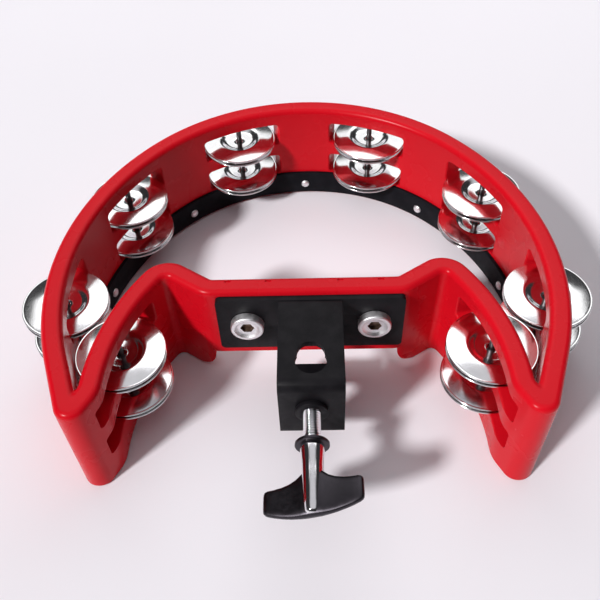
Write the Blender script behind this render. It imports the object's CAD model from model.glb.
import math

import bmesh
import bpy
from mathutils import Matrix, Vector


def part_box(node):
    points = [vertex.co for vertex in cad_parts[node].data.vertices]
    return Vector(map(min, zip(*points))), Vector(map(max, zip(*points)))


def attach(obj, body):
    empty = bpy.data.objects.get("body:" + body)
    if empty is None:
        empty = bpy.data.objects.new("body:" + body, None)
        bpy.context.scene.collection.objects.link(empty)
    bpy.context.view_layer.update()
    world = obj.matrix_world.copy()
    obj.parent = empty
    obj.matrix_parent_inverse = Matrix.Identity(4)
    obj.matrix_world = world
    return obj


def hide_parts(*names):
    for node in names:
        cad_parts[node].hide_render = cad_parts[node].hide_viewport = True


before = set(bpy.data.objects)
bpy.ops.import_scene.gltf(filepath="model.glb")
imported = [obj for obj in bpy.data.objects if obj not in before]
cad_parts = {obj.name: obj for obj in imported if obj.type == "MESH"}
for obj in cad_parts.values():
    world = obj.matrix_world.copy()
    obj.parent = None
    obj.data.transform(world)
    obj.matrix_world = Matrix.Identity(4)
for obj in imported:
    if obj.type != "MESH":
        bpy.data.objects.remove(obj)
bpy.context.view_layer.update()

# The crescent tambourine's visible pieces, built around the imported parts. Shapes are worked out
# in millimetres from the centre of the wall's oval, as in the design, and moved into the frame
# when each piece is finished.

# ---------------------------------------------------------------- sizes, in millimetres

MM = 0.001
WALL_T = 10.3
HALF_T = WALL_T / 2
RIM_R = 3.0
FOOT_R = 1.5
BACK_R = 113.55
ARC_SHIFT = 20.0
SIDE_R = BACK_R + ARC_SHIFT * math.sqrt(2)
LEG_R = 114.85
LEG_END_A = 1.0
TOE_BEND_R = 20.0
TOE_R = 7.7
HANDLE_DROP = 8.25
HANDLE_LIFT = 19.0
SHOULDER_A = 34.3
SHOULDER_R = 8.85
HANDLE_BEND_A = 33.6
HANDLE_BEND_R = 8.15
UNDERSIDE_X = 47.5
UNDERSIDE_R = 16.0
EDGE_R = 1.5
WINDOW_LOW_Z = 17.5
ROW_PITCH = 23.0
WINDOW_H = 14.0
WINDOW_W = 46.0
LEG_WINDOW_A = (-4.8, 30.0)
WINDOW_CORNER_R = 2.0
WINDOW_LIP_R = 0.9
STATION_PITCH = 81.0
LEG_PIN_A = 16.2
LEG_PIN_R = 113.6
PIN_R = 1.5
BAND_T = 1.8
BAND_Z = (1.5, 17.2)
RIVET_Z = 8.5
RIVET_SHANK_R = 1.6
SHEET_T = 0.7
DISC_R = 22.0
DISC_CREST = 2.0
DISC_FALL = 1.2
CREST_R = 12.4

BACK_C = Vector((0, ARC_SHIFT))
SIDE_C = Vector((-ARC_SHIFT, 0))
LEG_C = Vector((-ARC_SHIFT, -65.0))
TOE_C = Vector((101.5, -73.5))

wall_high = Vector(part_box("frame")[1])
HEIGHT = wall_high.z / MM
OVAL_Y = wall_high.y - (ARC_SHIFT + BACK_R + HALF_T) * MM
TO_FRAME = Matrix.Translation((0, OVAL_Y, 0)) @ Matrix.Scale(MM, 4)


def on_circle(r, degrees):
    a = math.radians(degrees)
    return Vector((r * math.cos(a), r * math.sin(a)))


def arc(centre, r, a0, a1, n, skip_first=False):
    first = 1 if skip_first else 0
    return [centre + on_circle(r, a0 + (a1 - a0) * i / n) for i in range(first, n + 1)]


def acos_deg(x):
    return math.degrees(math.acos(x))


def angle_of(v):
    return math.degrees(math.atan2(v.y, v.x))


toe_from_side = TOE_C - SIDE_C
SIDE_END_A = angle_of(toe_from_side) + acos_deg((SIDE_R + HALF_T - TOE_R) / toe_from_side.length)
TOE_BEND_C = LEG_C + on_circle(LEG_R - HALF_T + TOE_BEND_R, LEG_END_A)
TOE_BEND_MID_R = TOE_BEND_R - HALF_T
toe_from_bend = TOE_C - TOE_BEND_C
BEND_END_A = angle_of(toe_from_bend) + acos_deg((TOE_R - TOE_BEND_R) / toe_from_bend.length)
SHOULDER_C = LEG_C + on_circle(LEG_R - SHOULDER_R, SHOULDER_A)
SHOULDER_END_A = 90 + HANDLE_BEND_A
shoulder_end = SHOULDER_C + on_circle(SHOULDER_R, SHOULDER_END_A)
bend_y = -HANDLE_DROP + HANDLE_BEND_R * (1 - math.cos(math.radians(HANDLE_BEND_A)))
bend_x = shoulder_end.x - (shoulder_end.y - bend_y) / math.tan(math.radians(HANDLE_BEND_A))
HANDLE_BEND_C = Vector((bend_x - HANDLE_BEND_R * math.sin(math.radians(HANDLE_BEND_A)),
                        HANDLE_BEND_R - HANDLE_DROP))


def arc_place(s):
    """Centre, mid-line radius and angle at distance s along the wall from the back."""
    back_half = BACK_R * math.pi / 4
    if s < back_half:
        return BACK_C, BACK_R, 90 - math.degrees(s / BACK_R)
    return SIDE_C, SIDE_R, 45 - math.degrees((s - back_half) / SIDE_R)


ARC_STATIONS = [arc_place(k * STATION_PITCH) for k in (0.5, 1.5, 2.5)]
RIVETS = [arc_place(k * STATION_PITCH) for k in (0, 1, 2)]
right_pins = [c + on_circle(r, a) for c, r, a in ARC_STATIONS] + [LEG_C + on_circle(LEG_PIN_R, LEG_PIN_A)]
PINS = [Vector((-p.x, p.y)) for p in reversed(right_pins)] + right_pins
ROW_Z = (WINDOW_LOW_Z, WINDOW_LOW_Z + ROW_PITCH)

# ---------------------------------------------------------------- materials


class Nodes:
    """A material's node tree, with short calls for the nodes that the materials share."""

    def __init__(self, name, **shader):
        self.material = bpy.data.materials.new(name)
        self.material.use_nodes = True
        self.tree = self.material.node_tree
        self.shader = self.tree.nodes["Principled BSDF"]
        for socket, value in shader.items():
            self.shader.inputs[socket.replace("_", " ")].default_value = value
        self.place = self.tree.nodes.new("ShaderNodeTexCoord").outputs["Object"]

    def noise(self, scale, detail=3.0, rough=0.5, stretch=None):
        node = self.tree.nodes.new("ShaderNodeTexNoise")
        node.inputs["Scale"].default_value = scale
        node.inputs["Detail"].default_value = detail
        node.inputs["Roughness"].default_value = rough
        source = self.place
        if stretch:
            mapping = self.tree.nodes.new("ShaderNodeMapping")
            mapping.inputs["Scale"].default_value = stretch
            self.tree.links.new(source, mapping.inputs["Vector"])
            source = mapping.outputs["Vector"]
        self.tree.links.new(source, node.inputs["Vector"])
        return node.outputs["Fac"]

    def ramp(self, source, stops):
        node = self.tree.nodes.new("ShaderNodeValToRGB")
        ramp = node.color_ramp
        ramp.interpolation = "EASE"
        while len(ramp.elements) < len(stops):
            ramp.elements.new(0.5)
        for element, (position, colour) in zip(ramp.elements, stops):
            element.position = position
            element.color = (*colour, 1) if len(colour) == 3 else colour
        self.tree.links.new(source, node.inputs["Fac"])
        return node.outputs["Color"]

    def spread(self, source, low, high, source_low=0.15, source_high=0.85):
        node = self.tree.nodes.new("ShaderNodeMapRange")
        node.inputs["From Min"].default_value = source_low
        node.inputs["From Max"].default_value = source_high
        node.inputs["To Min"].default_value = low
        node.inputs["To Max"].default_value = high
        node.interpolation_type = "SMOOTHSTEP"
        self.tree.links.new(source, node.inputs["Value"])
        return node.outputs["Result"]

    def bump(self, height, strength, distance, below=None):
        node = self.tree.nodes.new("ShaderNodeBump")
        node.inputs["Strength"].default_value = strength
        node.inputs["Distance"].default_value = distance
        self.tree.links.new(height, node.inputs["Height"])
        if below is not None:
            self.tree.links.new(below, node.inputs["Normal"])
        return node.outputs["Normal"]

    def set(self, socket, source):
        self.tree.links.new(source, self.shader.inputs[socket])
        return self


def red_plastic():
    m = Nodes("red_abs", Specular_IOR_Level=0.13)
    tones = [(0.15, (0.56, 0.0035, 0.0110)), (0.85, (0.64, 0.0050, 0.0140))]
    m.set("Base Color", m.ramp(m.noise(9, 3), tones))
    m.set("Roughness", m.spread(m.noise(35, 3, 0.6), 0.23, 0.31))
    m.set("Normal", m.bump(m.noise(700, 2), 0.05, 0.0002))
    return m.material


def chrome(name, tone, rough, wear_scale=160):
    m = Nodes(name, Metallic=1.0)
    worn = tuple(v * 0.93 for v in tone)
    m.set("Base Color", m.ramp(m.noise(wear_scale, 4), [(0.3, worn), (0.7, tone)]))
    m.set("Roughness", m.spread(m.noise(wear_scale * 3, 4, 0.6), rough * 0.8, rough * 1.3))
    m.set("Normal", m.bump(m.noise(wear_scale * 12, 3), 0.03, 0.0002))
    return m.material


def black_rubber():
    m = Nodes("black_strip", Specular_IOR_Level=0.07)
    tones = [(0.3, (0.005, 0.005, 0.007)), (0.7, (0.009, 0.009, 0.012))]
    m.set("Base Color", m.ramp(m.noise(120, 4), tones))
    m.set("Roughness", m.spread(m.noise(300, 4), 0.42, 0.58))
    m.set("Normal", m.bump(m.noise(2500, 3), 0.2, 0.0002))
    return m.material


def black_coat():
    m = Nodes("black_powder_coat", Specular_IOR_Level=0.12)
    tones = [(0.3, (0.006, 0.0055, 0.007)), (0.7, (0.010, 0.009, 0.011))]
    m.set("Base Color", m.ramp(m.noise(150, 4), tones))
    m.set("Roughness", m.spread(m.noise(400, 4), 0.38, 0.52))
    m.set("Normal", m.bump(m.noise(1800, 3), 0.25, 0.0003))
    return m.material


def socket_steel():
    m = Nodes("socket_brown", Metallic=0.7)
    m.set("Base Color", m.ramp(m.noise(500, 5), [(0.3, (0.10, 0.06, 0.04)), (0.7, (0.22, 0.15, 0.11))]))
    m.set("Roughness", m.spread(m.noise(900, 3), 0.4, 0.65))
    m.set("Normal", m.bump(m.noise(1500, 3), 0.3, 0.0004))
    return m.material


RED = red_plastic()
DISC = chrome("jingle_plate", (0.90, 0.90, 0.91), 0.13)
STEEL = chrome("drawn_steel", (0.11, 0.105, 0.11), 0.38)
BRIGHT = chrome("bright_zinc", (0.93, 0.92, 0.93), 0.46)
CHROME = chrome("wing_chrome", (0.86, 0.85, 0.87), 0.12)
DARK_CHROME = chrome("wing_dark_chrome", (0.055, 0.05, 0.058), 0.34)
BLACK_STRIP = black_rubber()
BLACK_COAT = black_coat()
SOCKET = socket_steel()

# ---------------------------------------------------------------- mesh tools


def finish_piece(name, bm, materials, body, replaced=(), smooth_angle=40):
    """Makes the object, in the frame's metres, and says what it rides on and stands for."""
    bm.transform(TO_FRAME)
    bmesh.ops.recalc_face_normals(bm, faces=bm.faces)
    mesh = bpy.data.meshes.new(name)
    bm.to_mesh(mesh)
    bm.free()
    piece = bpy.data.objects.new(name, mesh)
    bpy.context.scene.collection.objects.link(piece)
    for material in materials:
        mesh.materials.append(material)
    mesh.polygons.foreach_set("use_smooth", [True] * len(mesh.polygons))
    mesh.set_sharp_from_angle(angle=math.radians(smooth_angle))
    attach(piece, body)
    if replaced:
        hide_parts(*replaced)
    return piece


def weigh_normals(piece):
    modifier = piece.modifiers.new("even_normals", "WEIGHTED_NORMAL")
    modifier.keep_sharp = True
    modifier.weight = 60


def ring_of(bm, points):
    return [bm.verts.new(p) for p in points]


def skin(bm, rings, closed=True):
    """Quads between successive rings of equal length."""
    faces = []
    for a, b in zip(rings, rings[1:]):
        n = len(a)
        for i in range(n if closed else n - 1):
            j = (i + 1) % n
            faces.append(bm.faces.new((a[i], a[j], b[j], b[i])))
    return faces


def revolve(bm, profile, steps, at=Matrix.Identity(4), closed_profile=True):
    """Turns (r, z) points about z: a closed profile makes a ring, an open one ends on the axis."""
    rings = []
    for r, z in profile:
        if r < 1e-6:
            rings.append([bm.verts.new(at @ Vector((0, 0, z)))])
        else:
            rings.append([bm.verts.new(at @ Vector((r * math.cos(t), r * math.sin(t), z)))
                          for t in (2 * math.pi * k / steps for k in range(steps))])
    pairs = list(zip(rings, rings[1:]))
    if closed_profile:
        pairs.append((rings[-1], rings[0]))
    faces = []
    for a, b in pairs:
        for k in range(steps):
            k2 = (k + 1) % steps
            corners = [a[k % len(a)], a[k2 % len(a)], b[k2 % len(b)], b[k % len(b)]]
            faces.append(bm.faces.new(list(dict.fromkeys(corners))))
    return faces


def rounded_rect(half_w, z0, z1, r, side_steps, corner_steps=5):
    """Closed outline of a rounded rectangle as (u, z) points, with its long sides subdivided."""
    points = []
    for cu, cz, a0 in ((half_w - r, z1 - r, 0), (-half_w + r, z1 - r, 90),
                       (-half_w + r, z0 + r, 180), (half_w - r, z0 + r, 270)):
        corner = [(cu + r * math.cos(math.radians(a0 + 90 * i / corner_steps)),
                   cz + r * math.sin(math.radians(a0 + 90 * i / corner_steps)))
                  for i in range(corner_steps + 1)]
        points += corner
        if a0 in (0, 180):
            end = -corner[-1][0]
            start = corner[-1][0]
            points += [(start + (end - start) * k / side_steps, corner[-1][1])
                       for k in range(1, side_steps)]
    return points


def object_from(bm, name):
    mesh = bpy.data.meshes.new(name)
    bmesh.ops.recalc_face_normals(bm, faces=bm.faces)
    bm.to_mesh(mesh)
    bm.free()
    made = bpy.data.objects.new(name, mesh)
    bpy.context.scene.collection.objects.link(made)
    return made


def cut(bm, cutter_bm):
    """The first mesh without the second, as a new bmesh."""
    base = object_from(bm, "cut_base")
    tool = object_from(cutter_bm, "cut_tool")
    modifier = base.modifiers.new("cut", "BOOLEAN")
    modifier.operation = "DIFFERENCE"
    modifier.solver = "EXACT"
    modifier.use_self = True
    modifier.object = tool
    graph = bpy.context.evaluated_depsgraph_get()
    result = bmesh.new()
    result.from_mesh(base.evaluated_get(graph).to_mesh())
    for made in (base, tool):
        mesh = made.data
        bpy.data.objects.remove(made)
        bpy.data.meshes.remove(mesh)
    bmesh.ops.remove_doubles(result, verts=result.verts, dist=0.002)
    return result


# ---------------------------------------------------------------- the red wall


def gap_end(h):
    n = on_circle(1, SIDE_END_A)
    return SIDE_END_A + acos_deg(((TOE_BEND_C - SIDE_C).dot(n) - SIDE_R + h) / (TOE_BEND_MID_R - h))


def outer_half(h):
    return (arc(BACK_C, BACK_R + h, 90, 45, 20)
            + arc(SIDE_C, SIDE_R + h, 45, SIDE_END_A, 30, True)
            + arc(TOE_C, TOE_R - HALF_T + h, SIDE_END_A, BEND_END_A - 180, 20)
            + arc(TOE_BEND_C, TOE_BEND_MID_R + h, 180 + BEND_END_A, 180 + LEG_END_A, 8)
            + arc(LEG_C, LEG_R - h, LEG_END_A, SHOULDER_A, 18, True)
            + arc(SHOULDER_C, SHOULDER_R - h, SHOULDER_A, SHOULDER_END_A, 12, True)
            + arc(HANDLE_BEND_C, HANDLE_BEND_R + h, HANDLE_BEND_A - 90, -90, 8))


def inner_half(h):
    """The gap between leg and outer wall closes in a small round instead of a sharp corner."""
    close_a = gap_end(h)
    apex = TOE_BEND_C + on_circle(TOE_BEND_MID_R - h, 180 + close_a)
    reach = 3.2
    down_side = apex - on_circle(reach, SIDE_END_A - 90)
    turn = math.degrees(reach / (TOE_BEND_MID_R - h))
    up_leg = TOE_BEND_C + on_circle(TOE_BEND_MID_R - h, 180 + close_a - turn)
    crotch = [down_side * (1 - t) ** 2 + apex * 2 * t * (1 - t) + up_leg * t ** 2
              for t in (k / 8 for k in range(9))]
    return (arc(BACK_C, BACK_R - h, 90, 45, 20)
            + arc(SIDE_C, SIDE_R - h, 45, SIDE_END_A, 30, True)
            + crotch
            + arc(TOE_BEND_C, TOE_BEND_MID_R - h, 180 + close_a - turn, 180 + LEG_END_A, 6, True)
            + arc(LEG_C, LEG_R + h, LEG_END_A, SHOULDER_A, 18, True)
            + arc(SHOULDER_C, SHOULDER_R + h, SHOULDER_A, SHOULDER_END_A, 20, True)
            + arc(HANDLE_BEND_C, HANDLE_BEND_R - h, HANDLE_BEND_A - 90, -90, 6))


def both_sides(half):
    return half + [Vector((-p.x, p.y)) for p in reversed(half[1:])]


def wall_levels():
    """Heights of the wall's rings with the half thickness at each."""
    steps = 7
    quarter = [math.pi / 2 * i / steps for i in range(steps + 1)]
    levels = [(FOOT_R * (1 - math.cos(a)), HALF_T - FOOT_R * (1 - math.sin(a))) for a in quarter[::2]]
    levels += [(FOOT_R, HALF_T)] + [(z, HALF_T) for z in (8, 16.2, 24.5, 32.8, 39.2, 47.5, 55.8)]
    levels += [(HEIGHT - RIM_R * (1 - math.sin(a)), HALF_T - RIM_R * (1 - math.cos(a))) for a in quarter]
    return levels


def window_cutter(bm, centre, r_mid, angle, half_w, z0, through):
    """A window with softly rounded lips where it meets the two curved faces of the wall."""
    n = on_circle(1, angle)
    t = on_circle(1, angle + 90)
    rows = [(r_mid - HALF_T - through[0], WINDOW_LIP_R * 0.9)]
    lip = [math.radians(a) for a in (78, 60, 42, 24, 0)]
    rolled = [(WINDOW_LIP_R * (1 - math.sin(a)), WINDOW_LIP_R * (1 - math.cos(a))) for a in lip]
    rows += [(r_mid - HALF_T + depth, out) for depth, out in rolled]
    rows += [(r_mid + HALF_T - depth, out) for depth, out in reversed(rolled)]
    rows += [(r_mid + HALF_T + through[1], WINDOW_LIP_R * 0.9)]
    rings = []
    for radius, out in rows:
        outline = rounded_rect(half_w + out, z0 - out, z0 + WINDOW_H + out, WINDOW_CORNER_R + out, 14)
        ring = []
        for u, z in outline:
            flat = centre + n * math.sqrt(radius ** 2 - u ** 2) + t * u
            ring.append(bm.verts.new((flat.x, flat.y, z)))
        rings.append(ring)
    skin(bm, rings)
    bm.faces.new(rings[0])
    bm.faces.new(rings[-1])


def underside_cutter(bm):
    """The space under the handle, which rises from the floor in a large round at each shoulder."""
    outline = []
    for side in (1, -1):
        corner = Vector((side * (UNDERSIDE_X + UNDERSIDE_R), UNDERSIDE_R))
        points = [Vector((corner.x, -2))]
        for a in range(270, 179, -9):
            around = on_circle(UNDERSIDE_R, a)
            points.append(corner + Vector((side * around.x, around.y)))
        for a in (math.radians(v) for v in (0, 30, 60, 90)):
            points.append(Vector((side * (UNDERSIDE_X + EDGE_R * (1 - math.sin(a))),
                                  HANDLE_LIFT - EDGE_R * (1 - math.cos(a)))))
        outline += points if side == 1 else points[::-1]
    front, back = -20.0, 20.0
    rings = [[bm.verts.new((p.x, y, p.y)) for p in outline] for y in (front, back)]
    skin(bm, rings)
    bm.faces.new(rings[0])
    bm.faces.new(rings[1])


def rod_cutter(bm, at, r, z0, z1, steps=24):
    turn = Matrix.Translation((at.x, at.y, 0))
    revolve(bm, [(0, z0), (r, z0), (r, z1), (0, z1)], steps, turn, closed_profile=False)


def mirrored(build):
    """Runs build into a fresh bmesh and adds its mirror image."""
    bm = bmesh.new()
    build(bm)
    copy = bmesh.ops.duplicate(bm, geom=bm.verts[:] + bm.edges[:] + bm.faces[:])
    moved = [g for g in copy["geom"] if isinstance(g, bmesh.types.BMVert)]
    for v in moved:
        v.co.x = -v.co.x
    bmesh.ops.reverse_faces(bm, faces=[g for g in copy["geom"] if isinstance(g, bmesh.types.BMFace)])
    return bm


# Small slots in the top of the handle: places, half width, half depth and height
SLOT_X = (17.5, 37.2)
SLOT_Y = -6.1
SLOT_W = 1.5
SLOT_D = 0.5
SLOT_H = 0.7


def wall_cutters(bm):
    leg_mid_a = sum(LEG_WINDOW_A) / 2
    leg_half_w = (LEG_R - HALF_T) * math.sin(math.radians(LEG_WINDOW_A[1] - leg_mid_a))
    for z in ROW_Z:
        for centre, r, angle in ARC_STATIONS:
            window_cutter(bm, centre, r, angle, WINDOW_W / 2, z, (3, 3))
        window_cutter(bm, LEG_C, LEG_R, leg_mid_a, leg_half_w, z, (3, 0.3))
    for pin in right_pins:
        rod_cutter(bm, pin, PIN_R + 0.05, -1, WINDOW_LOW_Z + 2)
    corners = ((-SLOT_W, -SLOT_D), (SLOT_W, -SLOT_D), (SLOT_W, SLOT_D), (-SLOT_W, SLOT_D))
    for x in SLOT_X:
        rings = [[bm.verts.new((x + u, SLOT_Y + v, z)) for u, v in corners]
                 for z in (HEIGHT - SLOT_H, HEIGHT + 1)]
        skin(bm, rings)
        bm.faces.new(rings[0])
        bm.faces.new(rings[1])


NUT_POCKET_R = 7.7
NUT_POCKET_H = 6.6


def handle_bolt_cutters(bm):
    hole_r = SHANK_R + 0.05
    hole = [(0, -5), (hole_r, -5), (hole_r, 25), (0, 25)]
    z0 = HANDLE_DROP - HALF_T - 3
    z1 = HANDLE_DROP - HALF_T + NUT_POCKET_H
    pocket = [(0, z0), (NUT_POCKET_R, z0), (NUT_POCKET_R, z1), (0, z1)]
    for x in BOLT_X:
        at = Matrix.Translation((x, 0, BOLT_Z)) @ Matrix.Rotation(math.radians(90), 4, "X")
        revolve(bm, hole, 32, at, closed_profile=False)
        revolve(bm, pocket, 6, at, closed_profile=False)


def red_wall():
    bm = bmesh.new()
    outer = []
    inner = []
    for z, h in wall_levels():
        outer.append(ring_of(bm, [(p.x, p.y, z) for p in both_sides(outer_half(h))]))
        inner.append(ring_of(bm, [(p.x, p.y, z) for p in both_sides(inner_half(h))]))
    skin(bm, outer)
    skin(bm, inner)
    for level in (0, -1):
        edges = []
        for ring in (outer[level], inner[level]):
            edges += [bm.edges.get((a, b)) for a, b in zip(ring, ring[1:] + ring[:1])]
        bmesh.ops.triangle_fill(bm, edges=edges, use_beauty=True)
    cutters = mirrored(wall_cutters)
    underside_cutter(cutters)
    handle_bolt_cutters(cutters)
    bm = cut(bm, cutters)
    piece = finish_piece("red_wall", bm, [RED], "frame", ["frame"], 32)
    weigh_normals(piece)
    return piece


# ---------------------------------------------------------------- band, rivets and pins


def band_line(depth, steps_side=26):
    half = arc(BACK_C, BACK_R - depth, 90, 45, 20)
    half += arc(SIDE_C, SIDE_R - depth, 45, BAND_END_A, steps_side, True)
    return [Vector((-p.x, p.y)) for p in reversed(half[1:])] + half


BAND_END_A = 45 + (SIDE_END_A - 45) * 13 / 16


def inner_band():
    """Strip with softened edges, from behind one leg round the back to behind the other."""
    r = 0.5
    z0, z1 = BAND_Z
    near, far = HALF_T + BAND_T, HALF_T - 0.05
    section = [(far, z0), (far, z1)]
    for cd, cz, a0 in ((near - r, z1 - r, 90), (near - r, z0 + r, 0)):
        section += [(cd + r * math.cos(math.radians(a)), cz + r * math.sin(math.radians(a)))
                    for a in (a0, a0 - 30, a0 - 60, a0 - 90)]
    lines = {depth: band_line(depth) for depth, _ in section}
    bm = bmesh.new()
    rings = []
    for i in range(len(lines[far])):
        rings.append(ring_of(bm, [(lines[depth][i].x, lines[depth][i].y, z) for depth, z in section]))
    skin(bm, rings)
    bm.faces.new(rings[0])
    bm.faces.new(rings[-1])
    finish_piece("black_strip", bm, [BLACK_STRIP], "frame", ["inner_band"])


def rivet_frames():
    frames = []
    for centre, r, angle in RIVETS:
        for mirror in ((1, -1) if angle < 89 else (1,)):
            inward = on_circle(-1, angle)
            at = centre + on_circle(r - HALF_T - BAND_T, angle)
            axis = Vector((mirror * inward.x, inward.y, 0))
            turn = axis.to_track_quat("Z", "Y").to_matrix().to_4x4()
            frames.append(Matrix.Translation((mirror * at.x, at.y, RIVET_Z)) @ turn)
    return frames


def band_rivets():
    bm = bmesh.new()
    head = [(0, 1.45), (0.9, 1.4), (1.7, 1.15), (2.3, 0.75), (2.6, 0.25), (2.62, 0.02), (2.5, -0.02)]
    head += [(RIVET_SHANK_R, -0.02), (RIVET_SHANK_R, -7.5), (0, -7.5)]
    for at in rivet_frames():
        revolve(bm, head, 32, at, closed_profile=False)
    finish_piece("rivet_heads", bm, [BRIGHT], "frame", ["band_rivets"])


def jingle_pins():
    low, high, chamfer = 3, HEIGHT - 4, 0.3
    profile = [(0, low), (PIN_R - chamfer, low), (PIN_R, low + chamfer)]
    profile += [(PIN_R, high - chamfer), (PIN_R - chamfer, high), (0, high)]
    bm = bmesh.new()
    for pin in PINS:
        at = Matrix.Translation((pin.x, pin.y, 0))
        revolve(bm, profile, 24, at, closed_profile=False)
    finish_piece("pins", bm, [STEEL], "frame", ["jingle_pins"])


# ---------------------------------------------------------------- jingles


def smooth(t):
    t = min(1.0, max(0.0, t))
    return t * t * (3 - 2 * t)


def disc_height(r):
    """Height of a disc's underside: a flat middle, a step up to the crest, and a falling flange."""
    rise = DISC_CREST * smooth((r - 7.3) / (CREST_R - 7.3))
    fall = DISC_FALL * max(0.0, (r - CREST_R) / (DISC_R - CREST_R)) ** 1.25
    return rise - fall


def disc_profile():
    hole_r, rim_r = 2.2, DISC_R - 0.05
    radii = [hole_r + 0.15, 4, 6, 7.3] + [7.3 + (CREST_R - 7.3) * k / 10 for k in range(1, 11)]
    radii += [13.2, 14.2, 15.6, 17.2, 18.8, 20.0, 20.8]
    top = [(r, disc_height(r) + SHEET_T) for r in radii]
    bottom = [(r, disc_height(r)) for r in radii]
    edge_z = disc_height(rim_r) + SHEET_T / 2
    bead = 0.5
    turned = [(rim_r - bead + bead * math.cos(math.radians(a)), edge_z + bead * math.sin(math.radians(a)))
              for a in range(120, -121, -24)]
    hole = [(hole_r, SHEET_T * 0.25), (hole_r, SHEET_T * 0.75)]
    return hole + top + turned + bottom[::-1]


def jingles():
    profile = disc_profile()
    for station in range(1, 9):
        for row, row_name in enumerate(("lower", "upper")):
            for side in ("bottom", "top"):
                node = f"jingle_{station}_{row_name}_{side}"
                low, high = (Vector(corner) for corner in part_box(node))
                pin = PINS[station - 1]
                bm = bmesh.new()
                if side == "top":
                    at = Matrix.Translation((pin.x, pin.y, low.z / MM))
                else:
                    at = Matrix.Translation((pin.x, pin.y, high.z / MM))
                    at = at @ Matrix.Diagonal((1, 1, -1, 1))
                revolve(bm, profile, 80, at)
                name = f"disc_{station}_{row_name}_{side}"
                finish_piece(name, bm, [DISC], node, [node], 60)


# ---------------------------------------------------------------- bracket

BRACKET_X = 2.7
STRAP_T = 3.0
BOLT_Z = 44.5
BOLT_X = (BRACKET_X - 31.3, BRACKET_X + 31.3)
SHANK_R = 4.0
WING_Z = 43.7
HANDLE_FRONT = -HANDLE_DROP - HALF_T


def softened_copy(node, name, material, body, width, angle=30, segments=3):
    """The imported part's own shape with its sharp edges rounded over."""
    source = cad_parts[node]
    bm = bmesh.new()
    bm.from_mesh(source.data)
    bmesh.ops.remove_doubles(bm, verts=bm.verts, dist=1e-6)
    bmesh.ops.dissolve_limit(bm, angle_limit=math.radians(1), verts=bm.verts, edges=bm.edges)
    mesh = bpy.data.meshes.new(name)
    bm.to_mesh(mesh)
    bm.free()
    piece = bpy.data.objects.new(name, mesh)
    bpy.context.scene.collection.objects.link(piece)
    mesh.materials.append(material)
    mesh.polygons.foreach_set("use_smooth", [True] * len(mesh.polygons))
    bevel = piece.modifiers.new("round_edges", "BEVEL")
    bevel.width = width * MM
    bevel.segments = segments
    bevel.limit_method = "ANGLE"
    bevel.angle_limit = math.radians(angle)
    bevel.harden_normals = True
    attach(piece, body)
    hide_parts(node)
    return piece


HEAD_R = 8.2
HEAD_H = 4.5
DISH_R = 6.2
DISH_H = 1.4
SOCKET_R = 3.5
SOCKET_H = 2.0


def bolt_profile(back):
    """Half outline of a bolt from its dish, over the rounded head, to the shank's end at depth back."""
    floor_z = HEAD_H - DISH_H
    edge_r = 0.9
    rounded = [tuple(Vector((HEAD_R - edge_r, HEAD_H - edge_r)) + on_circle(edge_r, a))
               for a in (90, 72, 54, 36, 18, 0)]
    dish = [(0, floor_z), (DISH_R - 2.0, floor_z), (DISH_R - 1.0, floor_z + 0.25)]
    dish += [(DISH_R - 0.2, HEAD_H - 0.25), (DISH_R + 0.15, HEAD_H)]
    base = [(HEAD_R, 0.3), (HEAD_R - 0.3, 0), (SHANK_R + 0.3, 0), (SHANK_R, -0.3)]
    return dish + rounded + base + [(SHANK_R, back + 0.6), (SHANK_R - 0.6, back), (0, back)]


def bolt_heads():
    """Round-headed bolts, with six-sided sockets in a browner, duller steel than the rest."""
    seat_y = HANDLE_FRONT - STRAP_T
    back = seat_y - (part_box("bracket_bolts")[1][1] - OVAL_Y) / MM
    bolts = bmesh.new()
    sockets = bmesh.new()
    floor_z = HEAD_H - DISH_H
    deep, clear = floor_z - SOCKET_H, HEAD_H + 1
    socket = [(0, deep), (SOCKET_R, deep), (SOCKET_R, clear), (0, clear)]
    for x in BOLT_X:
        at = Matrix.Translation((x, seat_y, BOLT_Z)) @ Matrix.Rotation(math.radians(90), 4, "X")
        revolve(bolts, bolt_profile(back), 48, at, closed_profile=False)
        revolve(sockets, socket, 6, at, closed_profile=False)
    bm = cut(bolts, sockets)
    for face in bm.faces:
        spot = face.calc_center_median()
        near = min(math.hypot(spot.x - x, spot.z - BOLT_Z) for x in BOLT_X)
        inside = seat_y - floor_z + 0.01 < spot.y < seat_y
        face.material_index = 1 if inside and near < SOCKET_R + 0.1 else 0
    finish_piece("bracket_bolt_heads", bm, [BRIGHT, SOCKET], "frame", ["bracket_bolts"], 35)


# ---------------------------------------------------------------- wing bolt

HUB_START = 85.5
TIP_DROP = 50.0
THREAD_PITCH = 1.25
WING_TURN = 20


def threaded_shank(bm, at, tip, root, r, pitch):
    """Shank with a real thread: a helical skin whose radius follows the thread's form."""
    steps = 32
    depth = 0.55
    turns = (root - tip) / pitch
    rows = int(turns * 10)
    rings = []
    for row in range(rows + 1):
        z = tip + (root - tip) * row / rows
        fade = min(1, (z - tip) / 1.5)
        ring = []
        for k in range(steps):
            phase = (z / pitch - k / steps) % 1
            form = abs(2 * phase - 1)
            radius = r - depth * min(1, max(0, form * 1.5 - 0.15)) - 0.5 * (1 - fade)
            a = 2 * math.pi * k / steps
            ring.append(bm.verts.new(at @ Vector((radius * math.cos(a), radius * math.sin(a), z))))
        rings.append(ring)
    skin(bm, rings)
    bm.faces.new(rings[0])
    bm.faces.new(rings[-1])


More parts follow.
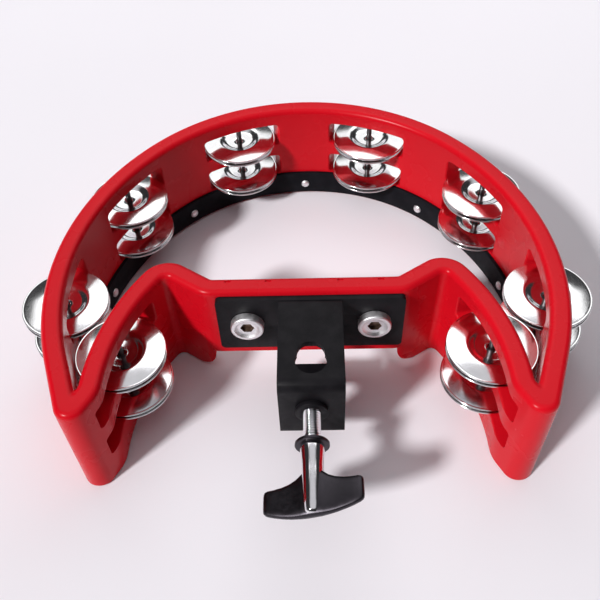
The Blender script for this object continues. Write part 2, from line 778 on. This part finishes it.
def wing_section(half_t, half_h, steps=16):
    """Closed oval section with flattened sides, as (thickness, height) pairs."""
    points = []
    for k in range(steps):
        a = 2 * math.pi * k / steps
        c, s = math.cos(a), math.sin(a)
        points.append((half_t * math.copysign(abs(c) ** 0.55, c),
                       half_h * math.copysign(abs(s) ** 0.55, s)))
    return points


def wing(bm, at, side):
    """One cast wing. z runs along the bolt away from its tip, x outwards."""
    stations = [(0.0, 3.0, 11.4, 32.3), (3.6, 2.8, 11.7, 32.3), (5.2, 2.5, 13.0, 32.2)]
    stations += [(7.5, 2.2, 14.8, 32.0), (10.5, 2.0, 16.2, 31.6), (14.0, 1.9, 17.1, 30.9)]
    stations += [(17.5, 1.85, 17.5, 30.0), (20.4, 1.8, 17.6, 29.0), (21.6, 1.6, 17.9, 28.4)]
    stations += [(22.25, 1.1, 18.5, 27.6), (22.5, 0.5, 19.4, 26.6)]
    rings = []
    for x, half_t, z0, z1 in stations:
        mid, half_h = (z0 + z1) / 2, (z1 - z0) / 2
        section = wing_section(half_t, half_h, 24)
        rings.append([bm.verts.new(at @ Vector((side * x, t, mid + h))) for t, h in section])
    faces = skin(bm, rings) + [bm.faces.new(rings[0]), bm.faces.new(rings[-1])]
    for face in faces:
        face.material_index = 1


def wing_bolt():
    bm = bmesh.new()
    at = Matrix.Translation((BRACKET_X, -HUB_START, WING_Z)) @ Matrix.Rotation(math.radians(90), 4, "X")
    threaded_shank(bm, at, TIP_DROP - HUB_START, -0.2, SHANK_R, THREAD_PITCH)
    hub = [(0, -0.3), (4.9, -0.3), (5.5, 0.3), (5.55, 1.0), (5.1, 5), (4.8, 9), (4.75, 12)]
    hub += [(4.6, 18), (4.2, 26), (3.7, 30), (2.9, 31.2), (1.5, 31.5), (0, 31.5)]
    revolve(bm, hub, 40, at, closed_profile=False)
    turned = at @ Matrix.Rotation(math.radians(WING_TURN), 4, "Z")
    wing(bm, turned, 1)
    wing(bm, turned, -1)
    finish_piece("wing_bolt_cast", bm, [CHROME, DARK_CHROME], "wing_bolt", ["wing_bolt"], 50)


def stop_washer():
    bm = bmesh.new()
    at = Matrix.Translation((BRACKET_X, -HUB_START + 2, WING_Z)) @ Matrix.Rotation(math.radians(90), 4, "X")
    profile = [(4.1, 0.2), (4.3, 0), (7.4, 0), (7.75, 0.35)]
    profile += [(7.75, 1.5), (7.4, 1.85), (4.3, 1.85), (4.1, 1.65)]
    revolve(bm, profile, 48, at)
    finish_piece("washer_disc", bm, [DARK_CHROME], "stop_washer", ["stop_washer"])


# ---------------------------------------------------------------- stage, light and camera

CEILING_STRENGTH = 0.62
KEY_STRENGTH = 3.05
SOFTBOX_W = 4.6
LOW_BOX_W = 1.8


def stage():
    bm = bmesh.new()
    size = 4.0
    sweep_start, sweep_r = 1.2, 0.3
    rows = [(-size, 0), (sweep_start, 0)]
    for a in (math.radians(v) for v in range(10, 91, 10)):
        rows.append((sweep_start + sweep_r * math.sin(a), sweep_r * (1 - math.cos(a))))
    rings = [[bm.verts.new((x, y, z)) for x in (-size, size)] for y, z in rows]
    skin(bm, rings, closed=False)
    mesh = bpy.data.meshes.new("paper")
    bm.to_mesh(mesh)
    bm.free()
    paper = bpy.data.objects.new("paper", mesh)
    bpy.context.scene.collection.objects.link(paper)
    mesh.polygons.foreach_set("use_smooth", [True] * len(mesh.polygons))
    m = Nodes("pale_paper", Specular_IOR_Level=0.2)
    m.set("Base Color", m.ramp(m.noise(3, 2), [(0.3, (0.83, 0.81, 0.85)), (0.7, (0.85, 0.83, 0.87))]))
    m.set("Roughness", m.spread(m.noise(40, 2), 0.6, 0.7))
    mesh.materials.append(m.material)


def sun(name, source, angle, strength, colour):
    """A soft key light that comes from the given direction."""
    light = bpy.data.lights.new(name, "SUN")
    light.angle = math.radians(angle)
    light.energy = strength
    light.color = colour
    holder = bpy.data.objects.new(name, light)
    bpy.context.scene.collection.objects.link(holder)
    holder.rotation_euler = Vector(source).to_track_quat("Z", "Y").to_euler()


def softbox(name, place, size, watts):
    """A wide lamp above the back, which the discs and the wing bolt mirror towards the camera."""
    light = bpy.data.lights.new(name, "AREA")
    light.shape = "RECTANGLE"
    light.size, light.size_y = size
    light.energy = watts
    holder = bpy.data.objects.new(name, light)
    bpy.context.scene.collection.objects.link(holder)
    holder.location = place
    holder.rotation_euler = Vector(place).to_track_quat("Z", "Y").to_euler()


def lights():
    """Soft light overhead, dim walls, a key from the front left and two softboxes at the back."""
    world = bpy.data.worlds.new("studio")
    bpy.context.scene.world = world
    world.use_nodes = True
    nodes = world.node_tree.nodes
    links = world.node_tree.links
    place = nodes.new("ShaderNodeTexCoord")
    split = nodes.new("ShaderNodeSeparateXYZ")
    ramp = nodes.new("ShaderNodeValToRGB")
    links.new(place.outputs["Generated"], split.inputs["Vector"])
    links.new(split.outputs["Z"], ramp.inputs["Fac"])
    links.new(ramp.outputs["Color"], nodes["Background"].inputs["Color"])
    ramp.color_ramp.elements[0].position = 0.74
    ramp.color_ramp.elements[0].color = (0.05, 0.049, 0.052, 1)
    ramp.color_ramp.elements[1].position = 0.88
    ramp.color_ramp.elements[1].color = (1.0, 0.99, 1.03, 1)
    nodes["Background"].inputs["Strength"].default_value = CEILING_STRENGTH
    sun("key", (-37, -35, 42), 7, KEY_STRENGTH, (1, 0.985, 0.99))
    softbox("back_box", (0, 0.84, 1.24), (2.0, 0.55), SOFTBOX_W)
    softbox("low_back_box", (0, 1.15, 0.96), (1.3, 0.4), LOW_BOX_W)


def camera():
    """Stands in front and above, looking down at the middle of the loop."""
    data = bpy.data.cameras.new("camera")
    data.sensor_width = 36
    data.lens = 46.69
    data.clip_start = 0.01
    view = bpy.data.objects.new("camera", data)
    bpy.context.scene.collection.objects.link(view)
    view.location = (0.0054, OVAL_Y - 0.2550, 0.3461)
    view.rotation_euler = [math.radians(a) for a in (39.975, 1.562, -0.052)]
    bpy.context.scene.camera = view


camera()
red_wall()
inner_band()
band_rivets()
jingle_pins()
jingles()
softened_copy("bracket", "bent_strap", BLACK_COAT, "frame", 0.5)
bolt_heads()
softened_copy("bracket_nuts", "captive_nuts", STEEL, "frame", 0.3)
softened_copy("clamp_nut", "round_nut", BLACK_COAT, "frame", 0.4)
stop_washer()
wing_bolt()
stage()
lights()
bpy.context.scene.view_settings.view_transform = "Standard"
